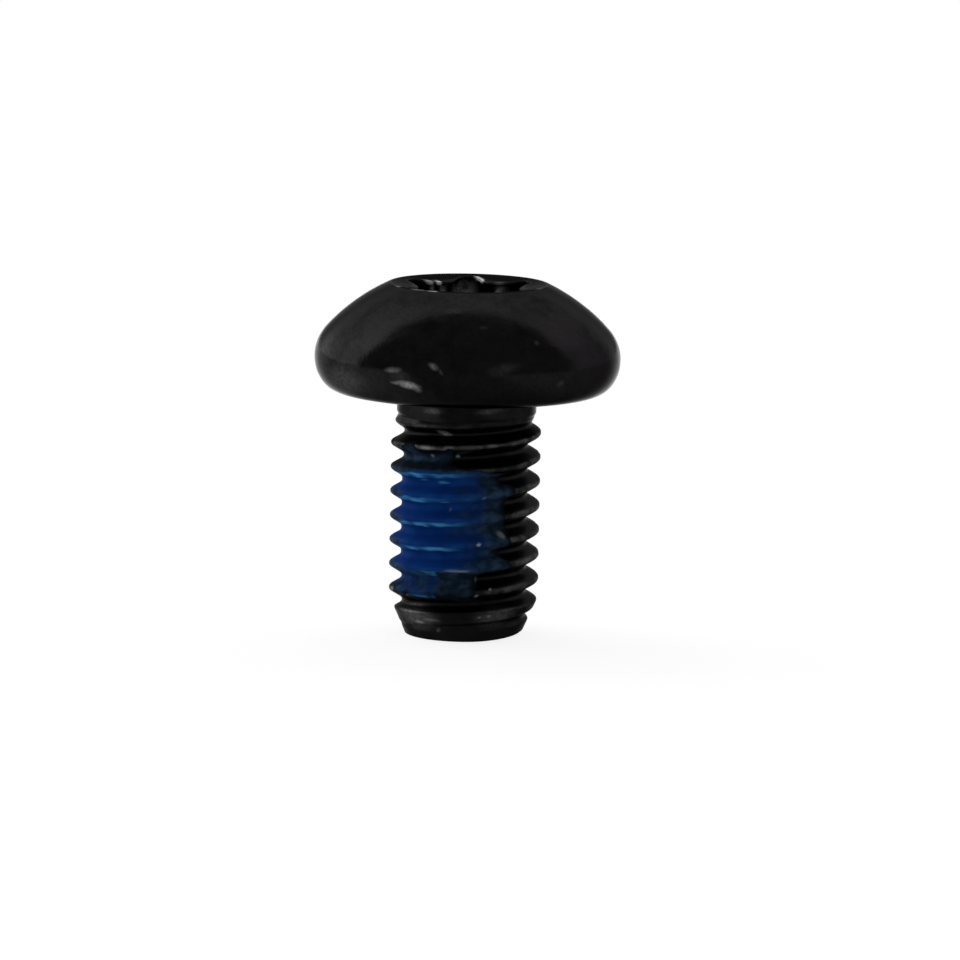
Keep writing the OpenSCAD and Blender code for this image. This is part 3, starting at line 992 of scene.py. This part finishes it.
def add_floor():
    """A pale floor under the tip: white to the camera, apart from the screw's soft shadow.

    Reflections show that white behind the screw and at its left, and before it a greyer floor that paints
    shade."""
    # Half the floor's width in metres, and how far below the tip it lies in millimetres
    size, gap = 2.0, 0.002
    # Distances in metres over which the shadow fades out, with the glow and the shaded share there
    near, far = 0.02, 0.08
    glow_near, glow_far = 0.84, 1.0
    shadow_share = 0.25
    # The two colours that light bounces off and reflections show, the grey before the screw a painted shade,
    # and the ways and distances in metres in which they change
    pale, shaded_grey = (0.80, 0.80, 0.80), (0.45, 0.45, 0.45)
    backwards, back_edge = (-0.70, 0.71, 0.0), (-0.006, 0.008)
    sideways, side_edge = (0.95, 0.30, 0.0), (0.002, 0.014)
    z = (TIP_Z - gap) * MM
    mesh = bpy.data.meshes.new("floor")
    corners = [(-size, -size, z), (size, -size, z), (size, size, z), (-size, size, z)]
    mesh.from_pydata(corners, [], [(0, 1, 2, 3)])
    floor = bpy.data.objects.new("floor", mesh)
    bpy.context.scene.collection.objects.link(floor)
    made, tree, shader = new_material("floor")
    place = put(tree, "ShaderNodeTexCoord").outputs["Object"]
    path = put(tree, "ShaderNodeLightPath").outputs
    behind = ranged(tree, measured(tree, "DOT_PRODUCT", place, backwards), *back_edge)
    beside = ranged(tree, measured(tree, "DOT_PRODUCT", place, sideways), *side_edge)
    mirrored = worked_out(tree, "MAXIMUM", path["Is Glossy Ray"], path["Is Transmission Ray"])
    mirrored_white = worked_out(tree, "MULTIPLY", mirrored, behind)
    seen = worked_out(tree, "MAXIMUM", path["Is Camera Ray"], mirrored_white)
    distance = measured(tree, "DISTANCE", place, (0, 0, z))
    glow = ranged(tree, distance, near, far, glow_near, glow_far)
    shade = ranged(tree, distance, near, far, shadow_share, 0.0)
    shown = put(tree, "ShaderNodeCombineColor", {0: shade, 1: shade, 2: shade}).outputs[0]
    # Pale for bounce and reflections, with the grey of painted shade before the screw
    plain = blended(tree, behind, blended(tree, beside, shaded_grey, pale), pale)
    tree.links.new(blended(tree, seen, plain, shown), shader.inputs["Base Color"])
    tree.links.new(worked_out(tree, "MULTIPLY", seen, glow), shader.inputs["Emission Strength"])
    shader.inputs["Emission Color"].default_value = (1, 1, 1, 1)
    shader.inputs["Roughness"].default_value = 1.0
    shader.inputs["Specular IOR Level"].default_value = 0.0
    mesh.materials.append(made)


def add_light():
    """Soft studio light: pale walls behind and beside the screw, brightest at the left, and a dim front."""
    front, straight_behind = (0.315, 0.315, 0.315), (0.20, 0.20, 0.20)
    left, middle, right = (2.36, 2.36, 2.36), (1.33, 1.33, 1.33), (0.88, 0.88, 0.88)
    # Where each of these passes into the next, as parts of a direction of length 1
    left_edge, right_edge = (-0.85, -0.15), (0.45, 0.90)
    front_edge, dim_edge = (0.20, 0.28), (0.76, 0.94)
    # How far the walls come forward at the sides
    bow_edge, bow = (0.45, 0.95), 0.26
    world = bpy.data.worlds.new("studio")
    bpy.context.scene.world = world
    world.use_nodes = True
    tree = world.node_tree
    way = put(tree, "ShaderNodeTexCoord").outputs["Generated"]
    parts = put(tree, "ShaderNodeSeparateXYZ", {"Vector": way}).outputs
    walls = blended(tree, ranged(tree, parts["X"], *left_edge), left, middle)
    walls = blended(tree, ranged(tree, parts["X"], *right_edge), walls, right)
    walls = blended(tree, ranged(tree, parts["Y"], *dim_edge), walls, straight_behind)
    aside = worked_out(tree, "ABSOLUTE", parts["X"])
    depth = worked_out(tree, "ADD", parts["Y"], ranged(tree, aside, *bow_edge, 0.0, bow))
    background = tree.nodes["Background"]
    behind = ranged(tree, depth, *front_edge)
    tree.links.new(blended(tree, behind, front, walls), background.inputs["Color"])
    background.inputs["Strength"].default_value = 1.0


def add_camera():
    """The photograph's view: a long lens, a little above the screw, with a slight roll."""
    data = bpy.data.cameras.new("camera")
    data.sensor_width = SENSOR_MM
    data.lens = SENSOR_MM * PIXELS_PER_MM * CAMERA_DISTANCE / IMAGE_SIZE
    data.clip_start, data.clip_end = 0.01, 10
    tilt, roll = math.radians(CAMERA_ELEVATION), math.radians(CAMERA_ROLL)
    back = Vector((0, -math.cos(tilt), math.sin(tilt)))
    up = Vector((0, math.sin(tilt), math.cos(tilt)))
    right = Vector((1, 0, 0))
    across = (IMAGE_SIZE / 2 - ORIGIN_PIXEL[0]) / PIXELS_PER_MM
    rise = (ORIGIN_PIXEL[1] - IMAGE_SIZE / 2) / PIXELS_PER_MM
    target = right * (across * math.cos(roll) - rise * math.sin(roll))
    target += up * (across * math.sin(roll) + rise * math.cos(roll))
    camera = bpy.data.objects.new("camera", data)
    camera.location = back * CAMERA_DISTANCE * MM
    camera.rotation_mode = "QUATERNION"
    aim = (target - back * CAMERA_DISTANCE).to_track_quat("-Z", "Y")
    camera.rotation_quaternion = aim @ Quaternion((0, 0, 1), roll)
    bpy.context.scene.collection.objects.link(camera)
    bpy.context.scene.camera = camera


add_camera()
add_light()
add_floor()

screw = build_screw(steel_material())
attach(screw, "root")
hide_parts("screw")

film = build_film(film_material())
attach(film, "root")
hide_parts("thread_lock_patch")

bpy.context.scene.view_settings.view_transform = "Standard"
